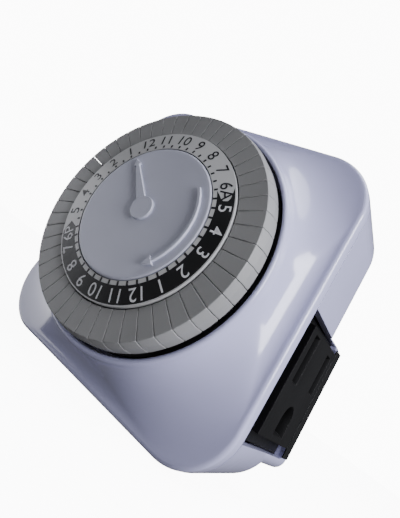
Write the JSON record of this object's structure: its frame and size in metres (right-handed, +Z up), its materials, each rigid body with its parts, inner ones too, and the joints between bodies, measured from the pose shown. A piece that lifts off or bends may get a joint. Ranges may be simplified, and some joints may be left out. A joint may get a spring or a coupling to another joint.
{
  "type": "plug in timer switch",
  "caption": "Mechanical plug in timer: square flared housing, turning dial with push-in trip pins, numeral ring, fixed pointer cap, side outlet and rear grounded plug.",
  "frame": {"origin": "middle of the flat rear face that rests on the wall, between the plug's blades and ground pin", "axes": "+X right as seen from the front (the outlet is on this side), +Y back towards the wall, along the plug's blades and the dial's axis, +Z up"},
  "size_m": [0.07, 0.0721, 0.069],
  "materials": {
    "housing_shell": "glossy moulded plastic",
    "cap_white": "satin moulded plastic",
    "pin_grey": "matte moulded plastic",
    "ring_print": "satin printed plastic",
    "wheel_grey": "matte moulded plastic",
    "outlet_black": "satin moulded plastic",
    "rocker_black": "satin moulded plastic",
    "contact_brass": "bright stamped strip",
    "plug_metal": "plated blades",
    "steel": "zinc plated",
    "gear_nylon": "natural nylon",
    "coil_copper": "enamelled winding",
    "switch_black": "phenolic"
  },
  "bodies": {
    "housing": {"front_cover": "housing_shell", "rear_cover": "housing_shell", "outlet_insert": "outlet_black", "neutral_blade": "plug_metal", "line_blade": "plug_metal", "ground_pin": "plug_metal", "neutral_contact": "contact_brass", "load_contact": "contact_brass", "ground_contact": "contact_brass", "line_strap": "contact_brass", "centre_cap": "cap_white", "movement_plate": "steel", "plate_screws": "steel", "motor_case": "steel", "motor_coil": "coil_copper", "lever_pivot_pin": "steel", "lever_spring": "steel", "switch_body": "switch_black", "housing_screws": "steel"},
    "dial": {"dial_wheel": "wheel_grey", "numeral_ring": "ring_print"},
    "drive": {"drive_gear": "gear_nylon"},
    "rotor": {"motor_rotor": "gear_nylon"},
    "lever": {"follower_lever": "gear_nylon"},
    "button": {"switch_button": "gear_nylon"},
    "rocker": {"override_rocker": "rocker_black"},
    "hour_01": {"trip_pins_01": "pin_grey"},
    "hour_02": {"trip_pins_02": "pin_grey"},
    "hour_03": {"trip_pins_03": "pin_grey"},
    "hour_04": {"trip_pins_04": "pin_grey"},
    "hour_05": {"trip_pins_05": "pin_grey"},
    "hour_06": {"trip_pins_06": "pin_grey"},
    "hour_07": {"trip_pins_07": "pin_grey"},
    "hour_08": {"trip_pins_08": "pin_grey"},
    "hour_09": {"trip_pins_09": "pin_grey"},
    "hour_10": {"trip_pins_10": "pin_grey"},
    "hour_11": {"trip_pins_11": "pin_grey"},
    "hour_12": {"trip_pins_12": "pin_grey"},
    "hour_13": {"trip_pins_13": "pin_grey"},
    "hour_14": {"trip_pins_14": "pin_grey"},
    "hour_15": {"trip_pins_15": "pin_grey"},
    "hour_16": {"trip_pins_16": "pin_grey"},
    "hour_17": {"trip_pins_17": "pin_grey"},
    "hour_18": {"trip_pins_18": "pin_grey"},
    "hour_19": {"trip_pins_19": "pin_grey"},
    "hour_20": {"trip_pins_20": "pin_grey"},
    "hour_21": {"trip_pins_21": "pin_grey"},
    "hour_22": {"trip_pins_22": "pin_grey"},
    "hour_23": {"trip_pins_23": "pin_grey"},
    "hour_24": {"trip_pins_24": "pin_grey"}
  },
  "joints": [
    {"name": "dial_turn", "type": "hinge", "parent": "housing", "child": "dial", "pos_m": [0, -0.045, 0], "axis": [0, 1, 0], "continuous": true},
    {"name": "drive_spin", "type": "hinge", "parent": "housing", "child": "drive", "pos_m": [-0.01131, -0.036, -0.01131], "axis": [0, 1, 0], "continuous": true},
    {"name": "rotor_spin", "type": "hinge", "parent": "housing", "child": "rotor", "pos_m": [-0.01613, -0.03, 0.00395], "axis": [0, 1, 0], "continuous": true},
    {"name": "lever_tilt", "type": "hinge", "parent": "housing", "child": "lever", "pos_m": [0.0042, -0.0348, 0.01689], "axis": [0, 0, 1], "range_deg": [0, 11], "stiffness_Nm_per_rad": 0.002, "springref_deg": -2.86, "deforming": ["lever_spring"]},
    {"name": "button_press", "type": "slide", "parent": "housing", "child": "button", "axis": [0, 1, 0], "range_m": [0, 0.00153]},
    {"name": "rocker_tilt", "type": "hinge", "parent": "housing", "child": "rocker", "pos_m": [-0.03291, -0.021, 0.015], "axis": [0, 1, 0], "range_deg": [0, 12]},
    {"name": "pin_push_01", "type": "slide", "parent": "dial", "child": "hour_01", "axis": [0, 1, 0], "range_m": [0, 0.0024]},
    {"name": "pin_push_02", "type": "slide", "parent": "dial", "child": "hour_02", "axis": [0, 1, 0], "range_m": [0, 0.0024]},
    {"name": "pin_push_03", "type": "slide", "parent": "dial", "child": "hour_03", "axis": [0, 1, 0], "range_m": [0, 0.0024]},
    {"name": "pin_push_04", "type": "slide", "parent": "dial", "child": "hour_04", "axis": [0, 1, 0], "range_m": [0, 0.0024]},
    {"name": "pin_push_05", "type": "slide", "parent": "dial", "child": "hour_05", "axis": [0, 1, 0], "range_m": [0, 0.0024]},
    {"name": "pin_push_06", "type": "slide", "parent": "dial", "child": "hour_06", "axis": [0, 1, 0], "range_m": [0, 0.0024]},
    {"name": "pin_push_07", "type": "slide", "parent": "dial", "child": "hour_07", "axis": [0, 1, 0], "range_m": [0, 0.0024]},
    {"name": "pin_push_08", "type": "slide", "parent": "dial", "child": "hour_08", "axis": [0, 1, 0], "range_m": [0, 0.0024]},
    {"name": "pin_push_09", "type": "slide", "parent": "dial", "child": "hour_09", "axis": [0, 1, 0], "range_m": [0, 0.0024]},
    {"name": "pin_push_10", "type": "slide", "parent": "dial", "child": "hour_10", "axis": [0, 1, 0], "range_m": [0, 0.0024]},
    {"name": "pin_push_11", "type": "slide", "parent": "dial", "child": "hour_11", "axis": [0, 1, 0], "range_m": [0, 0.0024]},
    {"name": "pin_push_12", "type": "slide", "parent": "dial", "child": "hour_12", "axis": [0, 1, 0], "range_m": [0, 0.0024]},
    {"name": "pin_push_13", "type": "slide", "parent": "dial", "child": "hour_13", "axis": [0, 1, 0], "range_m": [0, 0.0024]},
    {"name": "pin_push_14", "type": "slide", "parent": "dial", "child": "hour_14", "axis": [0, 1, 0], "range_m": [0, 0.0024]},
    {"name": "pin_push_15", "type": "slide", "parent": "dial", "child": "hour_15", "axis": [0, 1, 0], "range_m": [0, 0.0024]},
    {"name": "pin_push_16", "type": "slide", "parent": "dial", "child": "hour_16", "axis": [0, 1, 0], "range_m": [0, 0.0024]},
    {"name": "pin_push_17", "type": "slide", "parent": "dial", "child": "hour_17", "axis": [0, 1, 0], "range_m": [0, 0.0024]},
    {"name": "pin_push_18", "type": "slide", "parent": "dial", "child": "hour_18", "axis": [0, 1, 0], "range_m": [0, 0.0024]},
    {"name": "pin_push_19", "type": "slide", "parent": "dial", "child": "hour_19", "axis": [0, 1, 0], "range_m": [0, 0.0024]},
    {"name": "pin_push_20", "type": "slide", "parent": "dial", "child": "hour_20", "axis": [0, 1, 0], "range_m": [0, 0.0024]},
    {"name": "pin_push_21", "type": "slide", "parent": "dial", "child": "hour_21", "axis": [0, 1, 0], "range_m": [0, 0.0024]},
    {"name": "pin_push_22", "type": "slide", "parent": "dial", "child": "hour_22", "axis": [0, 1, 0], "range_m": [0, 0.0024]},
    {"name": "pin_push_23", "type": "slide", "parent": "dial", "child": "hour_23", "axis": [0, 1, 0], "range_m": [0, 0.0024]},
    {"name": "pin_push_24", "type": "slide", "parent": "dial", "child": "hour_24", "axis": [0, 1, 0], "range_m": [0, 0.0024]}
  ],
  "couplings": [
    {"joint": "drive_spin", "follows": "dial_turn", "ratio": -3},
    {"joint": "rotor_spin", "follows": "dial_turn", "ratio": 12},
    {"joint": "lever_tilt", "follows": "button_press", "rad_per_m": 125}
  ]
}
